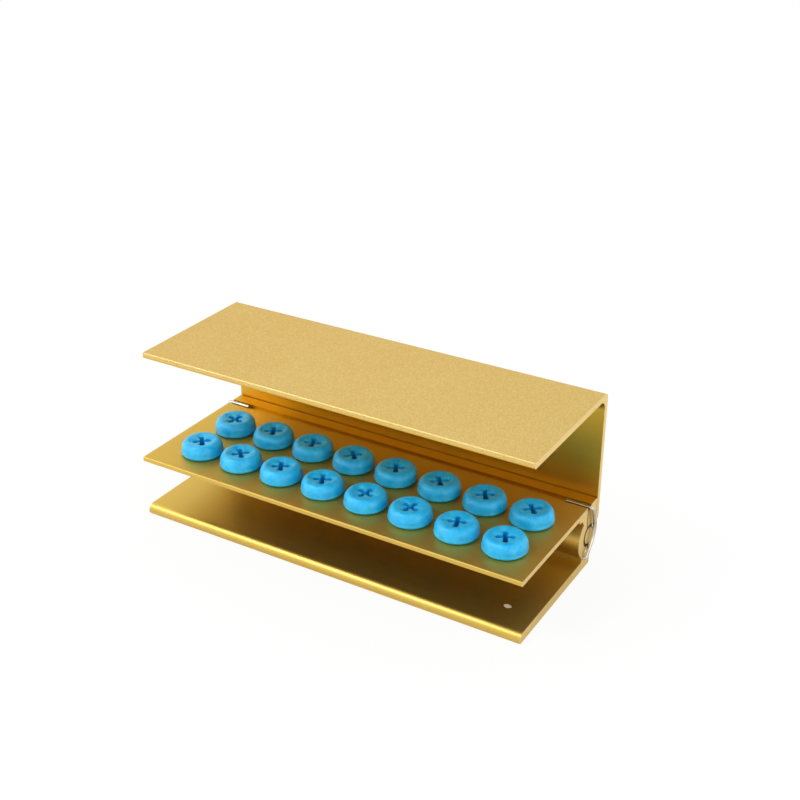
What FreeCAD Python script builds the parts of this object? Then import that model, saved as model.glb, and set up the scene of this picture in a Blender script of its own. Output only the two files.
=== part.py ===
import FreeCAD, Part
import math
import os

# Bur holder block: an extruded body with a drilled tray, a flip cover on a bead
# hinge, a spring wire at each end of the hinge and sixteen silicone plugs.
# Millimetres. The origin is the middle of the footprint, on the surface that the
# block stands on. X runs along the block, the front is at -Y and Z is up.

# Overall sizes
length = 80.0
depth = 31.8
height = 33.5

# Body: base plate and tray
base_thickness = 1.9
base_setback = 0.15
nose_top_radius = 1.3
nose_bottom_radius = 0.45
tray_level = 12.7
tray_thickness = 0.95
edge_radius = 0.2

# Cover: top and back wall
cover_wall = 1.1
cover_setback = 2.65
corner_radius = 1.2
inner_corner_radius = 1.9

# Bead hinge, seen from the end: the cover's bead turns in the body's socket
bead_radius = 1.85
bead_clearance = 0.1
swing_clearance = 0.25
lip_wall = 0.9
socket_wall = 2.4
socket_top_angle = 119.0
socket_heavy_end_angle = 248.0
socket_lip_end_angle = 310.0
foot_front_angle = 232.0
neck_back_angle = 45.0
neck_gap_at_tray = 0.25
neck_gap_at_socket = 0.3
wall_end_above_hinge = 1.55
wall_end_radius = 0.5
base_behind_hinge = 1.0

# Groove between the tray and the cover's ledge, and the slit behind the ledge
tray_edge_before_hinge = 1.1
groove_width = 1.5
groove_depth = 0.8
slit_width = 0.15
slit_depth = 4.1

# Lug under the back edge of the tray, which joins the tray to the socket
lug_width = 3.3
lug_tooth_drop = 0.75
lug_tooth_width = 1.1
lug_root_inset = 0.3
lug_root_angle = 127.0

# Spring wire at each end of the hinge
wire_diameter = 0.75
wire_gap = 0.15
wire_behind_tray = 0.43
wire_over_groove = 0.17
wire_upper_leg = 4.5
wire_lower_leg = 4.3
wire_bend_radius = 0.5
wire_bow_radius = 5.0
wire_bow_back = 2.5
wire_bow_up = 0.9
wire_hole_clearance = 0.02
wire_hole_spare = 0.3
wire_foot_inset = 0.05
wire_foot_angle = 241.0

# Plugs: two rows of eight, set out by shares of the room that the heads leave
plugs_per_row = 8
left_end_share = 0.272
right_end_share = 0.174
front_edge_share = 0.42
back_edge_share = 0.273
front_row_turns = (22.0, 16.0, 0.0, 5.0, 45.0, 42.0, -8.0, 0.0)
back_row_turns = (38.0, -10.0, 8.0, -16.0, 0.0, -12.0, 3.0, -18.0)

# One plug
head_radius = 3.95
head_height = 2.3
head_rim_height = 0.85
head_undercut = 0.2
head_flat_radius = 2.6
head_shoulder_bulge = 0.37
hole_radius = 2.8
neck_play = 0.05
groove_play = 0.05
flange_radius = 3.25
stem_tip_radius = 2.2
stem_length = 2.6
shank_bore_radius = 0.6
cross_width = 0.9
cross_span = 3.6
cross_depth = 3.2

# How far joined sections run into each other, and how far cuts run past a face
overlap = 0.1
cut_margin = 1.0

# Places worked out from the sizes
end_x = length / 2
front_y = -depth / 2
back_y = depth / 2
wall_inner_y = back_y - cover_wall
socket_bore = bead_radius + bead_clearance
lip_radius = socket_bore + lip_wall
swing_radius = lip_radius + swing_clearance
socket_radius = socket_bore + socket_wall
hinge_setback = swing_radius + cover_wall
hinge_y = back_y - hinge_setback
hinge_z = base_thickness + swing_clearance + hinge_setback
wall_end_z = hinge_z + wall_end_above_hinge
tray_back_y = hinge_y - tray_edge_before_hinge
tray_under = tray_level - tray_thickness
lug_front_y = tray_back_y - lug_width
ledge_front_y = tray_back_y + groove_width
groove_floor = tray_level - groove_depth
wire_radius = wire_diameter / 2


def vec(y, z, x=-end_x):
    """A point of a section, on the plane of the left end."""
    return FreeCAD.Vector(x, y, z)


def about_hinge(radius, angle):
    """The point at a radius and an angle from the hinge axis."""
    turn = math.radians(angle)
    return hinge_y + radius * math.cos(turn), hinge_z + radius * math.sin(turn)


def extrude(edges):
    """A closed section in the YZ plane, run along the whole length."""
    face = Part.Face(Part.Wire(edges))
    return face.extrude(FreeCAD.Vector(length, 0, 0))


def polygon(points):
    """A bar with a section of straight sides."""
    corners = [vec(y, z) for y, z in points]
    return extrude(Part.makePolygon(corners + corners[:1]).Edges)


def rounded(points, radii):
    """A bar whose section is a polygon with each corner rounded to its own radius."""
    corners = [vec(y, z) for y, z in points]
    count = len(corners)
    edges = []
    ends = []
    for i in range(count):
        here = corners[i]
        before = (corners[i - 1] - here).normalize()
        after = (corners[(i + 1) % count] - here).normalize()
        if radii[i] <= 0:
            ends.append((here, None, here))
            continue
        half = before.getAngle(after) / 2
        reach = radii[i] / math.tan(half)
        bisector = (before + after).normalize()
        centre = here + bisector * (radii[i] / math.sin(half))
        middle = centre - bisector * radii[i]
        ends.append((here + before * reach, middle, here + after * reach))
    for i in range(count):
        start, middle, stop = ends[i]
        if middle is not None:
            edges.append(Part.Arc(start, middle, stop).toShape())
        following = ends[(i + 1) % count][0]
        if (following - stop).Length > 1e-6:
            edges.append(Part.makeLine(stop, following))
    return extrude(edges)


def ring_sector(inner, outer, start, stop):
    """A bar with the section of part of a ring about the hinge axis."""
    middle = (start + stop) / 2
    outer_arc = Part.Arc(vec(*about_hinge(outer, start)), vec(*about_hinge(outer, middle)),
                         vec(*about_hinge(outer, stop)))
    inner_arc = Part.Arc(vec(*about_hinge(inner, stop)), vec(*about_hinge(inner, middle)),
                         vec(*about_hinge(inner, start)))
    edges = [outer_arc.toShape(),
             Part.makeLine(vec(*about_hinge(outer, stop)), vec(*about_hinge(inner, stop))),
             inner_arc.toShape(),
             Part.makeLine(vec(*about_hinge(inner, start)), vec(*about_hinge(outer, start)))]
    return extrude(edges)


def hinge_bar(radius):
    """A round bar on the hinge axis, as long as the block."""
    return Part.makeCylinder(radius, length, vec(hinge_y, hinge_z), FreeCAD.Vector(1, 0, 0))


def plug_places():
    """Name, centre and turn of each plug, front row first."""
    head_width = 2 * head_radius
    spare_along = length - plugs_per_row * head_width
    gaps_along = spare_along * (1 - left_end_share - right_end_share)
    first_x = -end_x + head_radius + left_end_share * spare_along
    pitch = head_width + gaps_along / max(plugs_per_row - 1, 1)
    front_limit = front_y + head_radius
    back_limit = lug_front_y - flange_radius
    spare_across = back_limit - front_limit - head_width
    front_row_y = front_limit + front_edge_share * spare_across
    back_row_y = back_limit - back_edge_share * spare_across
    places = []
    for row, y, turns in (("front", front_row_y, front_row_turns),
                          ("back", back_row_y, back_row_turns)):
        for i in range(plugs_per_row):
            turn = turns[i % len(turns)]
            places.append(("plug_%s_%d" % (row, i + 1), first_x + pitch * i, y, turn))
    return places


def base_plate():
    """Bottom plate with a round nose along the front."""
    nose_y = front_y + base_setback
    end_y = hinge_y + base_behind_hinge
    points = ((nose_y, 0), (end_y, 0), (end_y, base_thickness), (nose_y, base_thickness))
    return rounded(points, (nose_bottom_radius, edge_radius, edge_radius, nose_top_radius))


def socket():
    """Heavy front wall of the socket, its thin back lip and the foot under it."""
    heavy = ring_sector(socket_bore, socket_radius, socket_top_angle, socket_heavy_end_angle)
    lip = ring_sector(socket_bore, lip_radius, socket_heavy_end_angle - 1, socket_lip_end_angle)
    foot_front = about_hinge(socket_radius - overlap, foot_front_angle)
    foot_back = about_hinge(socket_radius - overlap, socket_heavy_end_angle)
    foot = polygon(((foot_front[0], base_thickness / 2), (foot_back[0], base_thickness / 2),
                    foot_back, foot_front))
    return heavy.fuse([lip, foot])


def tray_plate():
    """Tray, and the lug that carries it on the socket, with a tooth at the lug's front."""
    plate = rounded(((front_y, tray_under), (tray_back_y, tray_under),
                     (tray_back_y, tray_level), (front_y, tray_level)),
                    (edge_radius, 0, edge_radius, edge_radius))
    lug_top = tray_under + overlap
    tooth_z = tray_under - lug_tooth_drop
    lug = polygon(((lug_front_y, lug_top), (lug_front_y, tooth_z),
                   (lug_front_y + lug_tooth_width, tooth_z),
                   about_hinge(socket_radius - lug_root_inset, lug_root_angle),
                   about_hinge(socket_bore, socket_top_angle),
                   (tray_back_y, about_hinge(socket_radius, socket_top_angle)[1]),
                   (tray_back_y, lug_top)))
    return plate.fuse(lug)


def wire_foot():
    """The point of the end face where the wire's lower leg goes in."""
    return about_hinge(socket_radius - wire_foot_inset, wire_foot_angle)


def body():
    """One extrusion: base plate, socket and tray, with the plug and wire holes."""
    solid = base_plate().fuse([socket(), tray_plate()]).removeSplitter()
    tools = []
    for name, x, y, turn in plug_places():
        hole_foot = FreeCAD.Vector(x, y, tray_under - cut_margin)
        tools.append(Part.makeCylinder(hole_radius, tray_thickness + 2 * cut_margin, hole_foot))
    for side in (-1, 1):
        mouth = vec(*wire_foot(), side * end_x)
        tools.append(Part.makeCylinder(wire_radius + wire_hole_clearance,
                                       wire_lower_leg + wire_hole_spare,
                                       mouth, FreeCAD.Vector(-side, 0, 0)))
    return solid.cut(tools)


def cover():
    """One extrusion: top, back wall, ledge block, neck and bead."""
    front = front_y + cover_setback
    under = height - cover_wall
    shell = rounded(((front, height), (back_y, height), (back_y, wall_end_z),
                     (wall_inner_y, wall_end_z), (wall_inner_y, under), (front, under)),
                    (edge_radius, corner_radius, wall_end_radius, edge_radius,
                     inner_corner_radius, edge_radius))
    wall_middle_y = wall_inner_y + cover_wall / 2
    ledge = polygon(((ledge_front_y, wall_end_z), (wall_middle_y, wall_end_z),
                     (wall_middle_y, tray_level), (ledge_front_y, tray_level)))
    ledge = ledge.cut(hinge_bar(swing_radius))
    slit_floor = tray_level - slit_depth
    slit_top = tray_level + cut_margin
    slit = polygon(((wall_inner_y - slit_width, slit_floor), (wall_inner_y, slit_floor),
                    (wall_inner_y, slit_top), (wall_inner_y - slit_width, slit_top)))
    neck_back = about_hinge(swing_radius + overlap, neck_back_angle)
    neck_foot_y = about_hinge(socket_bore, socket_top_angle)[0] + neck_gap_at_socket
    neck_foot_drop = min(hinge_y - neck_foot_y, bead_radius)
    neck = polygon(((hinge_y, hinge_z), neck_back, (neck_back[0], groove_floor),
                    (tray_back_y + neck_gap_at_tray, groove_floor),
                    (neck_foot_y, hinge_z + math.sqrt(bead_radius ** 2 - neck_foot_drop ** 2))))
    return shell.fuse([ledge.cut(slit), neck, hinge_bar(bead_radius)]).removeSplitter()


def bent_wire(points, bends, radius):
    """Round wire of straight runs and round bends, with one bend for each inner point."""
    runs = []
    start = points[0]
    for i in range(1, len(points) - 1):
        here = points[i]
        before = (points[i - 1] - here).normalize()
        after = (points[i + 1] - here).normalize()
        half = before.getAngle(after) / 2
        reach = bends[i - 1] / math.tan(half)
        centre = here + (before + after).normalize() * (bends[i - 1] / math.sin(half))
        bend_start = here + before * reach
        run = bend_start - start
        runs.append(Part.makeCylinder(radius, run.Length, start, run))
        section = Part.Face(Part.Wire(Part.makeCircle(radius, bend_start, before)))
        runs.append(section.revolve(centre, after.cross(before), 180 - math.degrees(2 * half)))
        start = here + after * reach
    run = points[-1] - start
    runs.append(Part.makeCylinder(radius, run.Length, start, run))
    return runs[0].fuse(runs[1:])


def hinge_wire(side):
    """Spring wire: a leg in the groove, a bowed strand over the end and a leg in the body."""
    out_x = side * (end_x + wire_gap + wire_radius)
    leg_y = tray_back_y + wire_behind_tray + wire_radius
    leg_z = groove_floor + wire_over_groove + wire_radius
    foot = wire_foot()
    points = [vec(leg_y, leg_z, side * (end_x - wire_upper_leg)), vec(leg_y, leg_z, out_x),
              vec(hinge_y + wire_bow_back, hinge_z + wire_bow_up, out_x), vec(*foot, out_x),
              vec(*foot, side * (end_x - wire_lower_leg))]
    return bent_wire(points, (wire_bend_radius, wire_bow_radius, wire_bend_radius), wire_radius)


def plug_section():
    """Half section of a plug about its own axis, with the tray's top face at zero."""
    neck = hole_radius - neck_play
    groove = tray_thickness + groove_play
    tip = groove + stem_length
    rim = vec(0, head_rim_height, head_radius)
    crown = vec(0, head_height, head_flat_radius)
    outward = vec(0, rim.x - crown.x, crown.z - rim.z).normalize()
    shoulder = (rim + crown) / 2 + outward * head_shoulder_bulge
    corners = [crown, vec(0, head_height, 0), vec(0, -tip, 0), vec(0, -tip, stem_tip_radius),
               vec(0, -groove, flange_radius), vec(0, -groove, neck), vec(0, 0, neck),
               vec(0, 0, head_radius - head_undercut), rim, shoulder, crown]
    return Part.Face(Part.makePolygon(corners))


def plug(x, y, turn):
    """Silicone plug: button head, neck in the tray, flange, stem, cross slot and shank bore."""
    axis = FreeCAD.Vector(0, 0, 1)
    solid = plug_section().revolve(FreeCAD.Vector(0, 0, 0), axis, 360)
    slot_floor = head_height - cross_depth
    tools = []
    for across, along in ((cross_span, cross_width), (cross_width, cross_span)):
        corner = FreeCAD.Vector(-across / 2, -along / 2, slot_floor)
        tools.append(Part.makeBox(across, along, cross_depth + cut_margin, corner))
    bore_depth = stem_length + tray_thickness + cut_margin
    tools.append(Part.makeCylinder(shank_bore_radius, bore_depth + head_height,
                                   FreeCAD.Vector(0, 0, -bore_depth)))
    solid = solid.cut(tools)
    solid.rotate(FreeCAD.Vector(0, 0, 0), axis, turn)
    solid.translate(FreeCAD.Vector(x, y, tray_level))
    return solid


os.makedirs("parts", exist_ok=True)
pieces = {"body": body(), "cover": cover(),
          "hinge_wire_left": hinge_wire(-1), "hinge_wire_right": hinge_wire(1)}
for name, x, y, turn in plug_places():
    pieces[name] = plug(x, y, turn)
for name, shape in pieces.items():
    if shape.ShapeType != "Solid" and len(shape.Solids) == 1:
        shape = shape.Solids[0]
    print(name, shape.ShapeType, len(shape.Solids), shape.isValid(), round(shape.Volume, 3))
    shape.exportStep("parts/%s.step" % name)
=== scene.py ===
"""The looks of a gold anodised bur holder block, built around its packed construction model."""
import logging
import math
from dataclasses import dataclass, field
from enum import Enum
from typing import Any

import bpy
import numpy as np
from mathutils import Matrix, Vector


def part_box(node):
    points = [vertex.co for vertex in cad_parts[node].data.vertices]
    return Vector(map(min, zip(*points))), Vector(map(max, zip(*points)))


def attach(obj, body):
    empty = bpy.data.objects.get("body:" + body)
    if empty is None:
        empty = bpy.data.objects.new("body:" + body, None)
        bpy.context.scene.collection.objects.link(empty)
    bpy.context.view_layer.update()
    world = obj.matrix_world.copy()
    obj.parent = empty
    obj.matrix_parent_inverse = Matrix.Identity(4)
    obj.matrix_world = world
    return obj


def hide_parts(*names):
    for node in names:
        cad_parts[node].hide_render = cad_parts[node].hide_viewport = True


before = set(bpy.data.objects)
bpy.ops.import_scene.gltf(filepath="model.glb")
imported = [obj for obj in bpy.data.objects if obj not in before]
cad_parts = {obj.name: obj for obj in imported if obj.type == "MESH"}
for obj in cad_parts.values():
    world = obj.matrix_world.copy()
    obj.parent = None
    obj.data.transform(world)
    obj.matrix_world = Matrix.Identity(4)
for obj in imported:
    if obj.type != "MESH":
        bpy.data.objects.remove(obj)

LOG = logging.getLogger("bur_block")
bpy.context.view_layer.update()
MM = 0.001


class Operation(Enum):
    """The two-input sums that a shader expression uses."""

    ADD = "ADD"
    SUBTRACT = "SUBTRACT"
    MULTIPLY = "MULTIPLY"
    POWER = "POWER"


class Cut(Enum):
    """How the surface of a metal piece was worked."""

    BLASTED = "blasted"
    DRAWN = "drawn"


@dataclass
class Signal:
    """A value socket of a material, with the usual sums as Python operators."""

    material: "Material"
    socket: Any

    def _sum(self, operation: Operation, first: Any, second: Any) -> "Signal":
        """Add one Math node to the material.

        Args:
            operation: the sum.
            first: a signal or a number.
            second: a signal or a number.

        Returns:
            The result as a new signal.
        """
        settings = {"operation": operation.value}
        return self.material.node("ShaderNodeMath", settings, {0: first, 1: second})

    def __add__(self, other: Any) -> "Signal":
        """This signal plus another value."""
        return self._sum(Operation.ADD, self, other)

    def __radd__(self, other: Any) -> "Signal":
        """Another value plus this signal."""
        return self._sum(Operation.ADD, other, self)

    def __sub__(self, other: Any) -> "Signal":
        """This signal minus another value."""
        return self._sum(Operation.SUBTRACT, self, other)

    def __rsub__(self, other: Any) -> "Signal":
        """Another value minus this signal."""
        return self._sum(Operation.SUBTRACT, other, self)

    def __mul__(self, other: Any) -> "Signal":
        """This signal times another value."""
        return self._sum(Operation.MULTIPLY, self, other)

    def __rmul__(self, other: Any) -> "Signal":
        """Another value times this signal."""
        return self._sum(Operation.MULTIPLY, other, self)

    def __pow__(self, other: Any) -> "Signal":
        """This signal to a power."""
        return self._sum(Operation.POWER, self, other)

    def __abs__(self) -> "Signal":
        """The size of this signal without its sign."""
        return self.material.node("ShaderNodeMath", {"operation": "ABSOLUTE"}, {0: self})

    def step(self, low: float, high: float) -> "Signal":
        """A smooth rise from 0 at low to 1 at high.

        Args:
            low: the value where the rise starts.
            high: the value where it ends.

        Returns:
            The rise as a new signal.
        """
        settings = {"interpolation_type": "SMOOTHSTEP"}
        values = {"Value": self, "From Min": low, "From Max": high, "To Min": 0.0, "To Max": 1.0}
        return self.material.node("ShaderNodeMapRange", settings, values)


class Material:
    """A procedural material, built node by node around one Principled shader."""

    def __init__(self, name: str) -> None:
        """Start an empty node tree with a shader and an output.

        Args:
            name: the material's name.
        """
        self.data = bpy.data.materials.new(name)
        self.data.use_nodes = True
        self.tree = self.data.node_tree
        self.tree.nodes.clear()
        self.shader = self.tree.nodes.new("ShaderNodeBsdfPrincipled")
        self.surface = self.tree.nodes.new("ShaderNodeOutputMaterial").inputs["Surface"]
        self.tree.links.new(self.shader.outputs[0], self.surface)

    def plug_in(self, socket: Any, value: Any) -> None:
        """Give a socket a number, a colour or a link.

        Args:
            socket: the input socket.
            value: a signal, a number or a tuple.
        """
        if isinstance(value, Signal):
            self.tree.links.new(value.socket, socket)
        elif isinstance(value, tuple) and len(value) == 3 and len(socket.default_value) == 4:
            socket.default_value = (*value, 1.0)
        else:
            socket.default_value = value

    def node(self, kind: str, settings: dict[str, Any], values: dict[Any, Any],
             output: int | str = 0) -> Signal:
        """Add any node.

        Args:
            kind: the node's type.
            settings: its own properties, set first.
            values: numbers, tuples or signals for its sockets, by name or index.
            output: which of its outputs is wanted.

        Returns:
            That output as a signal.
        """
        made = self.tree.nodes.new(kind)
        for key, value in settings.items():
            setattr(made, key, value)
        for key, value in values.items():
            self.plug_in(made.inputs[key], value)
        return Signal(self, made.outputs[output])

    def place(self) -> Signal:
        """The point in the block's own frame, in metres."""
        return self.node("ShaderNodeTexCoord", {}, {}, "Object")

    def axes(self) -> tuple[Signal, Signal, Signal]:
        """The point's three coordinates as signals."""
        split = self.node("ShaderNodeSeparateXYZ", {}, {0: self.place()})
        sockets = split.socket.node.outputs
        return Signal(self, sockets[0]), Signal(self, sockets[1]), Signal(self, sockets[2])

    def stretched(self, scale: tuple[float, float, float]) -> Signal:
        """The point with each coordinate scaled, which stretches a pattern."""
        return self.node("ShaderNodeMapping", {}, {"Vector": self.place(), "Scale": scale})

    def noise(self, where: Signal, scale: float, detail: float = 2.0,
              roughness: float = 0.5) -> Signal:
        """Cloudy noise from 0 to 1.

        Args:
            where: the point.
            scale: lumps for each metre, about.
            detail: octaves.
            roughness: weight of the finer octaves.

        Returns:
            The noise as a signal.
        """
        values = {"Vector": where, "Scale": scale, "Detail": detail, "Roughness": roughness}
        return self.node("ShaderNodeTexNoise", {}, values)

    def mix(self, share: Any, first: Any, second: Any) -> Signal:
        """A colour between two others, by a share from 0 to 1."""
        settings = {"data_type": "RGBA", "clamp_factor": True}
        return self.node("ShaderNodeMix", settings, {0: share, 6: first, 7: second}, 2)

    def bump(self, height: Signal, depth: float, normal: Signal | None = None) -> Signal:
        """A normal that follows a height.

        Args:
            height: the height from 0 to 1.
            depth: what 1 stands for, in metres.
            normal: a normal to build on.

        Returns:
            The new normal.
        """
        values: dict[Any, Any] = {"Height": height, "Distance": depth, "Strength": 1.0}
        if normal is not None:
            values["Normal"] = normal
        return self.node("ShaderNodeBump", {}, values)

    def finish(self, values: dict[str, Any]) -> bpy.types.Material:
        """Fill the shader's sockets.

        Args:
            values: numbers, tuples or signals by socket name.

        Returns:
            The finished material.
        """
        for key, value in values.items():
            self.plug_in(self.shader.inputs[key], value)
        return self.data

    def seen_white(self, share: float) -> None:
        """Show camera rays mostly plain white, so that only a hint of the shading stays.

        Args:
            share: how much of the white they get, from 0 to 1.
        """
        seen = self.node("ShaderNodeLightPath", {}, {}, "Is Camera Ray")
        white = self.node("ShaderNodeEmission", {}, {"Color": (1.0, 1.0, 1.0), "Strength": 1.0})
        shaded = Signal(self, self.shader.outputs[0])
        both = self.node("ShaderNodeMixShader", {}, {0: share * seen, 1: shaded, 2: white})
        self.tree.links.new(both.socket, self.surface)


@dataclass(frozen=True)
class AnodisedGold:
    """Gold anodised aluminium, either blasted to a fine grain or left as drawn."""

    name: str
    cut: Cut
    colour: tuple[float, float, float] = (0.63, 0.42, 0.085)
    pale: tuple[float, float, float] = (0.78, 0.60, 0.20)
    inner_painted_bounce: tuple[float, float, float] = (0.66, 0.395, 0.035)
    top_z: float = 0.0335
    back_y: float = 0.0159
    tint: tuple[float, float, float] = (1.0, 0.84, 0.55)
    sawn_end_and_painted_reflection: tuple[float, float, float] = (0.78, 0.62, 0.30)
    gap_painted_shade: tuple[float, float, float] = (0.09, 0.035, 0.012)
    hinge_y: float = 0.0117
    hinge_z: float = 0.00635
    bead: float = 0.0019
    roughness: float = 0.30
    grain_per_metre: float = 5000.0
    tray_z: float = 0.0127
    tray_extra: float = 0.11
    grain_depth: float = 0.000030
    streaks_per_metre: float = 900.0
    streak_stretch: float = 0.02
    streak_depth: float = 0.000003
    end_x: float = 0.04
    end_skin: float = 0.00003
    light_spot_at: tuple[float, float, float] = (0.0345, -0.0094, 0.0019)
    light_spot_half: tuple[float, float, float] = (0.00070, 0.00050, 0.0008)
    light_spot_colour: tuple[float, float, float] = (0.90, 0.80, 0.55)
    light_spot_dark_rim: tuple[float, float, float] = (0.36, 0.22, 0.06)
    light_spot_wave: float = 0.9
    light_spot_waves_per_metre: float = 1500.0
    light_spot_rim_range: tuple[float, float] = (1.0, 1.7)
    light_spot_core_range: tuple[float, float] = (0.8, 1.3)
    light_spot_matt: float = 0.75
    drift_per_metre: float = 60.0
    drift_share: float = 0.20
    grain_share: float = 0.85
    grain_range: tuple[float, float] = (0.38, 0.72)
    streak_share: float = 0.20
    inner_bounce_share: float = 0.5
    inner_bounce_far: float = 0.0009
    inner_bounce_near: float = 0.0006
    gap_shade_edge: tuple[float, float] = (0.00020, 0.00040)
    saw_per_metre: float = 2600.0
    saw_stretch: float = 0.12
    saw_depth: float = 0.00001
    rough_streaks: float = 0.05
    rough_grain: float = 0.08
    rough_sawn: float = 0.08
    tray_far: float = 0.0005
    tray_near: float = 0.0001
    drawn_grain: float = 0.3

    def _painted_light_spot(self, metal: Material) -> Signal:
        """The distance from the painted light spot on the base plate, in its own half sizes.

        Args:
            metal: the material that shows it.

        Returns:
            The distance as a signal, a little wavy, with 1 at the rub's edge.
        """
        inverse = tuple(1 / half for half in self.light_spot_half)
        shift = tuple(-place / half for place, half in zip(self.light_spot_at, self.light_spot_half))
        settings = {"operation": "MULTIPLY_ADD"}
        values = {0: metal.place(), 1: inverse, 2: shift}
        near = metal.node("ShaderNodeVectorMath", settings, values)
        wave = metal.noise(metal.place(), self.light_spot_waves_per_metre, 2.0)
        distance = metal.node("ShaderNodeVectorMath", {"operation": "LENGTH"}, {0: near}, 1)
        return distance + self.light_spot_wave * (wave - 0.5)

    def make(self) -> bpy.types.Material:
        """Build the material.

        Returns:
            A metal whose colour drifts slowly, with grain or streaks in its bump, and paler
            sawn ends, partly their own tone and partly painted reflection; with painted bounce
            light inside the cover, painted shade round the hinge bead and a painted light spot
            on the base plate.
        """
        metal = Material(self.name)
        x, y, z = metal.axes()
        blasted = self.cut is Cut.BLASTED
        sawn = abs(x).step(self.end_x - 2 * self.end_skin, self.end_x - self.end_skin)
        grain = metal.noise(metal.place(), self.grain_per_metre, 2.0, 0.7)
        drift = metal.noise(metal.place(), self.drift_per_metre, 2.0)
        along = metal.stretched((self.streak_stretch, 1.0, 1.0))
        streaks = metal.noise(along, self.streaks_per_metre, 3.0, 0.6)
        across = metal.stretched((1.0, self.saw_stretch, 1.0))
        saw = metal.noise(across, self.saw_per_metre, 2.0, 0.6)
        share = self.drift_share * drift + (self.grain_share * grain.step(*self.grain_range)
                                            if blasted else self.streak_share * streaks)
        skin = metal.mix(share, self.colour, self.pale)
        if blasted:
            # Painted bounce light: a deeper, more saturated gold under the top plate and in front
            # of the back wall.
            under = 1 - z.step(self.top_z - self.inner_bounce_far, self.top_z - self.inner_bounce_near)
            before = 1 - y.step(self.back_y - self.inner_bounce_far, self.back_y - self.inner_bounce_near)
            inside = metal.mix(self.inner_bounce_share * share, self.inner_painted_bounce, self.colour)
            skin = metal.mix(under * before, skin, inside)
            metallic: Any = 1.0
        else:
            # A painted pool of light on the base plate: paler and less metallic, with a darker
            # painted rim.
            light_spot = self._painted_light_spot(metal)
            core = 1 - light_spot.step(*self.light_spot_core_range)
            skin = metal.mix(1 - light_spot.step(*self.light_spot_rim_range), skin, self.light_spot_dark_rim)
            skin = metal.mix(core, skin, self.light_spot_colour)
            metallic = 1 - self.light_spot_matt * core
        # Painted shade: a dark ring in the clearance gap round the hinge bead on the sawn ends.
        dy, dz = y - self.hinge_y, z - self.hinge_z
        off_bead = abs((dy * dy + dz * dz) ** 0.5 - self.bead)
        end = metal.mix(1 - off_bead.step(*self.gap_shade_edge), self.sawn_end_and_painted_reflection, self.gap_painted_shade)
        # Sawn ends: their own paler tone, plus painted reflection of the white surroundings.
        colour = metal.mix(sawn, skin, end)
        rough = (self.roughness + self.rough_streaks * (streaks - 0.5)
                 + self.rough_grain * (grain - 0.5) + self.rough_sawn * sawn)
        if not blasted:
            tray = z.step(self.tray_z - self.tray_far, self.tray_z - self.tray_near)
            rough = rough + self.tray_extra * tray
        depth = self.grain_depth if blasted else self.drawn_grain * self.grain_depth
        normal = metal.bump(grain, depth)
        normal = metal.bump(streaks * (1 - sawn), self.streak_depth, normal)
        normal = metal.bump(saw * sawn, self.saw_depth, normal)
        return metal.finish({"Base Color": colour, "Metallic": metallic, "Roughness": rough,
                             "Normal": normal, "Specular Tint": self.tint})


@dataclass(frozen=True)
class SpringSteel:
    """Bright drawn steel wire."""

    name: str = "spring_steel"
    colour: tuple[float, float, float] = (0.62, 0.57, 0.48)
    stain: tuple[float, float, float] = (0.40, 0.32, 0.22)
    roughness: float = 0.20
    lines_per_metre: float = 4200.0
    line_depth: float = 0.000006
    line_rough: float = 0.18
    stains_per_metre: float = 420.0
    stain_share: float = 0.6
    stain_range: tuple[float, float] = (0.45, 0.75)

    def make(self) -> bpy.types.Material:
        """Build the material.

        Returns:
            A metal with faint draw lines and a warm stain in places.
        """
        steel = Material(self.name)
        fine = steel.noise(steel.place(), self.lines_per_metre, 3.0, 0.6)
        patch = steel.noise(steel.place(), self.stains_per_metre, 2.0)
        stained = self.stain_share * patch.step(*self.stain_range)
        colour = steel.mix(stained, self.colour, self.stain)
        rough = self.roughness + self.line_rough * (fine - 0.5)
        return steel.finish({"Base Color": colour, "Metallic": 1.0, "Roughness": rough,
                             "Normal": steel.bump(fine, self.line_depth)})


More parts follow.
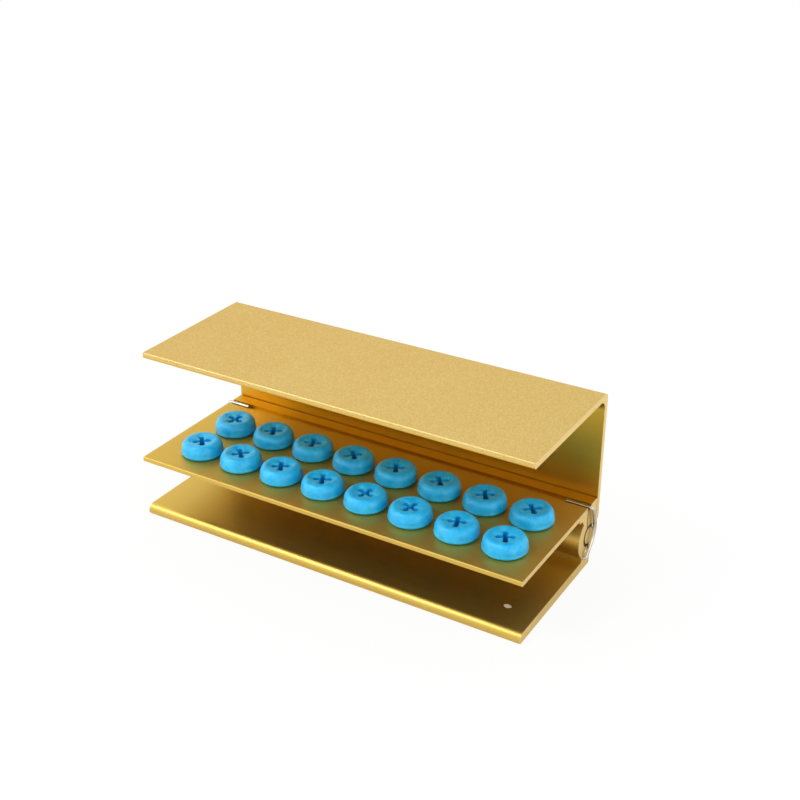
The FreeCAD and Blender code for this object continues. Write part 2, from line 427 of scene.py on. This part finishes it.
@dataclass(frozen=True)
class Silicone:
    """Soft blue silicone with a satin moulded skin."""

    name: str = "silicone"
    colour: tuple[float, float, float] = (0.004, 0.42, 0.80)
    light: tuple[float, float, float] = (0.030, 0.54, 0.94)
    slot_painted_shade: tuple[float, float, float] = (0.004, 0.25, 0.66)
    shaded: tuple[float, float, float] = (0.008, 0.07, 0.15)
    roughness: float = 0.36
    tray_under: float = 0.01175
    slot_floor: float = 0.0116
    head_top: float = 0.0150
    head_fall: float = 0.0006
    under_band: float = 0.0002
    wall_shade_share: float = 0.25
    floor_shade_share: float = 0.45
    mottles_per_metre: float = 700.0
    mottle_range: tuple[float, float] = (0.3, 0.75)
    mottle_depth: float = 0.00003
    mottle_rough: float = 0.12
    skin_per_metre: float = 5200.0
    skin_depth: float = 0.000012
    subsurface: float = 0.15
    subsurface_scale: float = 0.0010

    def make(self) -> bpy.types.Material:
        """Build the material.

        Returns:
            A slightly mottled blue with painted shade, darker deeper inside the slot and on the
            stems under the tray, and a fine skin bump.
        """
        rubber = Material(self.name)
        z = rubber.axes()[2]
        mottle = rubber.noise(rubber.place(), self.mottles_per_metre, 3.0, 0.6)
        fine = rubber.noise(rubber.place(), self.skin_per_metre, 2.0, 0.5)
        depth = 1 - z.step(self.slot_floor, self.head_top - self.head_fall)
        inside = rubber.node("ShaderNodeAttribute", {"attribute_name": "inside"}, {}, "Fac")
        body = rubber.mix(mottle.step(*self.mottle_range), self.colour, self.light)
        # Painted shade inside the slot, darker towards its floor.
        shade = inside * (self.wall_shade_share + self.floor_shade_share * depth)
        colour = rubber.mix(shade, body, self.slot_painted_shade)
        # Painted shade on the stems below the tray, outside the slot.
        below = 1 - z.step(self.tray_under - self.under_band, self.tray_under)
        colour = rubber.mix(below * (1 - inside), colour, self.shaded)
        normal = rubber.bump(fine, self.skin_depth)
        normal = rubber.bump(mottle, self.mottle_depth, normal)
        rough = self.roughness + self.mottle_rough * (mottle - 0.5)
        return rubber.finish({"Base Color": colour, "Roughness": rough, "Normal": normal,
                              "Subsurface Weight": self.subsurface,
                              "Subsurface Scale": self.subsurface_scale,
                              "Specular IOR Level": 0.5})


@dataclass(frozen=True)
class PaleFloor:
    """A plain white sweep that keeps the block's shadow."""

    name: str = "pale_floor"
    colour: tuple[float, float, float] = (0.85, 0.85, 0.85)
    white_share: float = 0.90
    roughness: float = 0.9

    def make(self) -> bpy.types.Material:
        """A matt white that the camera sees almost evenly lit."""
        sweep = Material(self.name)
        sweep.seen_white(self.white_share)
        return sweep.finish({"Base Color": self.colour, "Roughness": self.roughness})


def mesh_object(name: str, points: np.ndarray, quads: np.ndarray) -> bpy.types.Object:
    """Put a computed surface into a new object.

    Args:
        name: the object's name.
        points: an array of points, in metres.
        quads: an array of corner indices, four for each face.

    Returns:
        The object, linked to the scene and smooth shaded.
    """
    mesh = bpy.data.meshes.new(name)
    mesh.from_pydata(points.tolist(), [], quads.tolist())
    mesh.polygons.foreach_set("use_smooth", np.ones(len(quads), dtype=bool))
    mesh.update()
    made = bpy.data.objects.new(name, mesh)
    bpy.context.scene.collection.objects.link(made)
    return made


def ring_quads(rings: int, around: int) -> np.ndarray:
    """Faces of a closed tube of rings.

    Corner (i, j) is number i * around + j, and j wraps round at the seam.

    Args:
        rings: how many rings there are.
        around: points in each ring.

    Returns:
        The quads as an array of four columns.
    """
    i, j = np.meshgrid(np.arange(rings - 1), np.arange(around), indexing="ij")
    after = (j + 1) % around
    low, high = i * around, (i + 1) * around
    return np.stack([low + j, low + after, high + after, high + j], -1).reshape(-1, 4)


Ring = tuple[np.ndarray, float, float]
"""A flat outline, its height, and how far inside the slot it lies, from 0 to 1."""


@dataclass
class PlugHead:
    """One silicone plug: button head with a cross slot, neck, ring, stem and shank bore."""

    node: str
    turn: float
    around: int = 96
    arm_half: float = 0.40 * MM
    bulb: float = 0.54 * MM
    bulb_at: float = 1.22 * MM
    lip: float = 0.12 * MM
    slot_depth: float = 3.3 * MM
    bore: float = 0.6 * MM
    flat: float = 2.75 * MM
    crown: float = 0.42 * MM
    dish: float = 0.28 * MM
    shoulder: float = 1.10 * MM
    slope: float = 0.03 * MM
    swell: float = 0.08 * MM
    edge_height: float = 0.52 * MM
    undercut: float = 0.72 * MM
    neck: float = 2.72 * MM
    ring: float = 3.22 * MM
    tip: float = 2.18 * MM
    groove: float = 1.0 * MM
    skim: float = 0.004 * MM
    chamfer: float = 0.08 * MM

    def _cross(self, grow: float) -> np.ndarray:
        """The slot's outline, grown outwards.

        The outline is a plus sign whose four arms end in round bulbs. One arm's edge runs out
        along its side from the inner corner, round the bulb and back, and the other arms are
        quarter turns of it.

        Args:
            grow: how far outside the slot's wall the outline runs, in metres.

        Returns:
            Points in the plane, one row for each step around.
        """
        half, bulb = self.arm_half + grow, self.bulb + grow
        neck = self.bulb_at - math.sqrt(bulb * bulb - half * half)
        per_arm = self.around // 4
        sides = per_arm // 4
        out = half + (neck - half) * np.arange(sides) / sides
        wide = math.pi - math.asin(half / bulb)
        turn = np.linspace(-wide, wide, per_arm - 2 * sides + 1)
        back = out[::-1][:-1]
        across = np.concatenate([-half + 0 * out, bulb * np.sin(turn), half + 0 * back])
        along = np.concatenate([out, self.bulb_at + bulb * np.cos(turn), back])
        arms = []
        for c, s in ((1, 0), (0, 1), (-1, 0), (0, -1)):
            arms.append(np.stack([c * along - s * across, s * along + c * across], -1))
        return np.concatenate(arms)

    def _circle(self, radius: float) -> np.ndarray:
        """A circle whose points are in step with the slot's outline."""
        angle = (np.arange(self.around) / self.around - 0.125) * 2 * math.pi
        return radius * np.stack([np.cos(angle), np.sin(angle)], -1)

    def _hollow(self, low: float, top: float) -> list[Ring]:
        """The rings of the shank bore, the slot's wall and the dish round it.

        Args:
            low: height of the stem's tip.
            top: height of the head's crown.

        Returns:
            Rings from the bore's foot up to the crown.
        """
        floor, edge = top - self.slot_depth, top - self.dish
        bore, wall, outer = self._circle(self.bore), self._cross(0.0), self._cross(self.lip)
        rings: list[Ring] = [(bore, height, 1.0)
                             for height in (low, low + 0.3 * MM, floor - 0.1 * MM)]
        rings.append((bore * 1.04, floor, 1.0))
        rings.append((0.4 * bore + 0.6 * wall, floor + 0.02 * MM, 1.0))
        rings.append((wall * 0.985, floor + 0.06 * MM, 1.0))
        for share in np.linspace(0.08, 1.0, 9):
            height = floor + share * (self.slot_depth - self.lip - self.dish)
            rings.append((wall, height, 1.0))
        for turn in np.linspace(0.2, 1.0, 5) * math.pi / 2:
            rings.append((self._cross(self.lip * (1 - math.cos(turn))),
                          edge - self.lip * (1 - math.sin(turn)), 1.0 - turn / (math.pi / 2)))
        for share in np.linspace(0.12, 1.0, 10):
            bend = share * share * (3 - 2 * share)
            rings.append(((1 - share) * outer + share * self._circle(self.flat),
                          edge + self.dish * bend, 0.0))
        return rings

    def _dome(self, table: float, rim: float, top: float) -> list[Ring]:
        """The rings of the head's shoulder, side and rounded lower edge.

        Args:
            table: height of the tray's top.
            rim: radius of the construction head.
            top: height of the head's crown.

        Returns:
            Rings from the crown down to the tray.
        """
        rings: list[Ring] = []
        shoulder_z, edge_z = table + self.shoulder, table + self.edge_height
        side, widest = rim - self.slope, rim + self.swell
        for turn in np.linspace(0.06, 1.0, 14) * math.pi / 2:
            reach = self.flat + (side - self.flat) * math.sin(turn)
            height = shoulder_z + (top - shoulder_z) * math.cos(turn)
            rings.append((self._circle(reach), height, 0.0))
        for share in np.linspace(0.15, 1.0, 6):
            reach = side + (widest - side) * share ** 1.5
            rings.append((self._circle(reach), shoulder_z + (edge_z - shoulder_z) * share, 0.0))
        for turn in np.linspace(0.15, 0.95, 8) * math.pi / 2:
            reach = widest - self.undercut * (1 - math.cos(turn))
            rings.append((self._circle(reach), edge_z - self.edge_height * math.sin(turn), 0.0))
        return rings

    def _stem(self, low: float, table: float, rim: float) -> list[Ring]:
        """The rings of the head's foot, the neck in the tray, the ring under it and the stem.

        Args:
            low: height of the stem's tip.
            table: height of the tray's top.
            rim: radius of the construction head.

        Returns:
            Rings from the tray's top down to the stem's tip.
        """
        foot = rim + self.swell - self.undercut
        under = table - self.groove
        sizes = ((foot - 0.03 * MM, table + 0.02 * MM),
                 (foot - 0.12 * MM, table + self.skim),
                 (self.neck, table + self.skim),
                 (self.neck, under),
                 (self.ring - self.chamfer, under),
                 (self.ring, under - self.chamfer),
                 (self.ring - 0.1 * MM, under - 0.3 * MM),
                 (self.tip + 0.03 * MM, low + 0.2 * MM),
                 (self.tip - 0.1 * MM, low),
                 (self.bore + 0.05 * MM, low))
        return [(self._circle(radius), height, 0.0) for radius, height in sizes]

    def build(self, silicone: bpy.types.Material, table: float) -> bpy.types.Object:
        """Make the plug where its construction solid stands.

        Each ring is a flat outline at one height, and the rings are joined into one closed tube.

        Args:
            silicone: its material.
            table: height of the tray's top, in metres.

        Returns:
            The plug, which replaces the plain solid.
        """
        low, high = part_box(self.node)
        centre = np.array([(low.x + high.x) / 2, (low.y + high.y) / 2])
        rim = (high.x - low.x) / 2
        top = high.z + self.crown
        rings = (self._hollow(low.z, top) + self._dome(table, rim, top)
                 + self._stem(low.z, table, rim))
        turn = math.radians(self.turn)
        spin = np.array([[math.cos(turn), math.sin(turn)], [-math.sin(turn), math.cos(turn)]])
        flat = np.stack([outline for outline, height, inside in rings]) @ spin + centre
        heights = np.array([height for outline, height, inside in rings])
        depth = np.array([inside for outline, height, inside in rings])
        levels = np.repeat(heights[:, None], self.around, 1)[..., None]
        points = np.concatenate([flat, levels], -1).reshape(-1, 3)
        quads = ring_quads(len(rings), self.around)
        last = (len(rings) - 1) * self.around
        j = np.arange(self.around)
        after = (j + 1) % self.around
        seam = np.stack([last + j, last + after, after, j], -1)
        made = mesh_object("dressed_" + self.node, points, np.concatenate([quads, seam]))
        shade = made.data.attributes.new("inside", "FLOAT", "POINT")
        shade.data.foreach_set("value", np.repeat(depth, self.around).astype(np.float32))
        made.data.materials.append(silicone)
        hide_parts(self.node)
        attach(made, "base")
        return made


@dataclass
class PlugRows:
    """The sixteen plugs, each at its own chance turn."""

    finish: Silicone = field(default_factory=Silicone)
    front_turns: tuple[float, ...] = (42.0, 46.0, 31.0, 26.0, -14.0, -14.0, 18.0, 27.0)
    back_turns: tuple[float, ...] = (-10.0, 31.0, 20.0, 43.0, 28.0, 39.0, 32.0, 41.0)
    table: float = 12.7 * MM

    def build(self) -> list[bpy.types.Object]:
        """Make every plug.

        Returns:
            The plugs, front row first.
        """
        silicone = self.finish.make()
        made = []
        for row, turns in (("front", self.front_turns), ("back", self.back_turns)):
            for place, turn in enumerate(turns):
                made.append(PlugHead(f"plug_{row}_{place + 1}", turn).build(silicone, self.table))
        return made


@dataclass
class Metalwork:
    """The body, the cover and the two spring wires, which keep their construction shapes."""

    body: AnodisedGold = field(default_factory=lambda: AnodisedGold(
        "gold_body", Cut.DRAWN, roughness=0.40))
    cover: AnodisedGold = field(default_factory=lambda: AnodisedGold(
        "gold_cover", Cut.BLASTED, colour=(0.61, 0.41, 0.115), pale=(0.76, 0.60, 0.28),
        roughness=0.36))
    wire: SpringSteel = field(default_factory=SpringSteel)

    def dress(self) -> list[bpy.types.Object]:
        """Give each metal node its finish.

        Returns:
            The nodes that were dressed.
        """
        gold_body, gold_cover, steel = self.body.make(), self.cover.make(), self.wire.make()
        finishes = {"body": gold_body, "cover": gold_cover,
                    "hinge_wire_left": steel, "hinge_wire_right": steel}
        dressed = []
        for name, material in finishes.items():
            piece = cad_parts[name]
            piece.data.materials.clear()
            piece.data.materials.append(material)
            dressed.append(piece)
        return dressed


@dataclass(frozen=True)
class Softbox:
    """A soft rectangular lamp that faces the block."""

    name: str
    place: tuple[float, float, float]
    size: tuple[float, float]
    energy: float
    aim: tuple[float, float, float] = (0.0, 0.0, 0.01)

    def build(self) -> bpy.types.Object:
        """Hang the lamp.

        Returns:
            The lamp, linked to the scene.
        """
        lamp = bpy.data.lights.new(self.name, "AREA")
        lamp.shape = "RECTANGLE"
        lamp.size, lamp.size_y = self.size
        lamp.energy = self.energy
        made = bpy.data.objects.new(self.name, lamp)
        made.location = self.place
        ahead = Vector(self.aim) - Vector(self.place)
        made.rotation_euler = ahead.to_track_quat("-Z", "Y").to_euler()
        bpy.context.scene.collection.objects.link(made)
        return made


@dataclass
class Studio:
    """Floor, soft light and camera."""

    floor_half: float = 3.0
    world_level: float = 1.0
    lamps: tuple[Softbox, ...] = (
        Softbox("softbox_overhead", (-0.45, 0.30, 0.95), (0.9, 0.7), 0.8),
        Softbox("softbox_front", (-0.366, -0.363, 0.611), (0.36, 0.22), 1.7),
        Softbox("softbox_left", (-0.75, -0.30, 0.30), (0.4, 0.4), 0.9),
        Softbox("softbox_right", (0.75, -0.30, 0.30), (0.4, 0.4), 0.8))
    camera_at: tuple[float, float, float] = (0.11056, -0.17209, 0.13266)
    azimuth: float = 30.936
    elevation: float = 27.026
    roll: float = -0.019
    focal_pixels: float = 1276.4
    image_pixels: float = 800.0
    sensor: float = 36.0
    clip_start: float = 0.01

    def floor(self) -> bpy.types.Object:
        """A flat white floor, which is no part of the block."""
        h = self.floor_half
        corners = np.array([[-h, -h, 0.0], [h, -h, 0.0], [h, h, 0.0], [-h, h, 0.0]])
        made = mesh_object("floor", corners, np.array([[0, 1, 2, 3]]))
        made.data.materials.append(PaleFloor().make())
        return made

    def light(self) -> None:
        """An even white world and the soft lamps."""
        world = bpy.data.worlds.new("pale_room")
        world.use_nodes = True
        world.node_tree.nodes["Background"].inputs["Color"].default_value = (1.0, 1.0, 1.0, 1.0)
        world.node_tree.nodes["Background"].inputs["Strength"].default_value = self.world_level
        bpy.context.scene.world = world
        for lamp in self.lamps:
            lamp.build()

    def camera(self) -> bpy.types.Object:
        """The camera at the photograph's place and angle.

        Returns:
            The scene's camera.
        """
        turn, lift, lean = (math.radians(v) for v in (self.azimuth, self.elevation, self.roll))
        back = Vector((math.sin(turn) * math.cos(lift), -math.cos(turn) * math.cos(lift),
                       math.sin(lift)))
        right = Vector((math.cos(turn), math.sin(turn), 0.0))
        up = back.cross(right)
        side = right * math.cos(lean) + up * math.sin(lean)
        top = up * math.cos(lean) - right * math.sin(lean)
        lens = bpy.data.cameras.new("camera")
        lens.sensor_width = self.sensor
        lens.lens = self.sensor * self.focal_pixels / self.image_pixels
        lens.clip_start = self.clip_start
        made = bpy.data.objects.new("camera", lens)
        facing = Matrix((side, top, back)).transposed().to_4x4()
        made.matrix_world = Matrix.Translation(self.camera_at) @ facing
        bpy.context.scene.collection.objects.link(made)
        bpy.context.scene.camera = made
        return made

    def build(self) -> None:
        """Set up the whole studio."""
        bpy.context.scene.view_settings.view_transform = "Standard"
        self.floor()
        self.light()
        self.camera()


def main() -> None:
    """Build the looks in order and report each piece."""
    logging.basicConfig(level=logging.INFO, format="%(name)s %(message)s")
    Studio().build()
    for piece in Metalwork().dress():
        LOG.info("dressed %s", piece.name)
    for piece in PlugRows().build():
        LOG.info("built %s with %d faces", piece.name, len(piece.data.polygons))


if __name__ == "__main__":
    main()
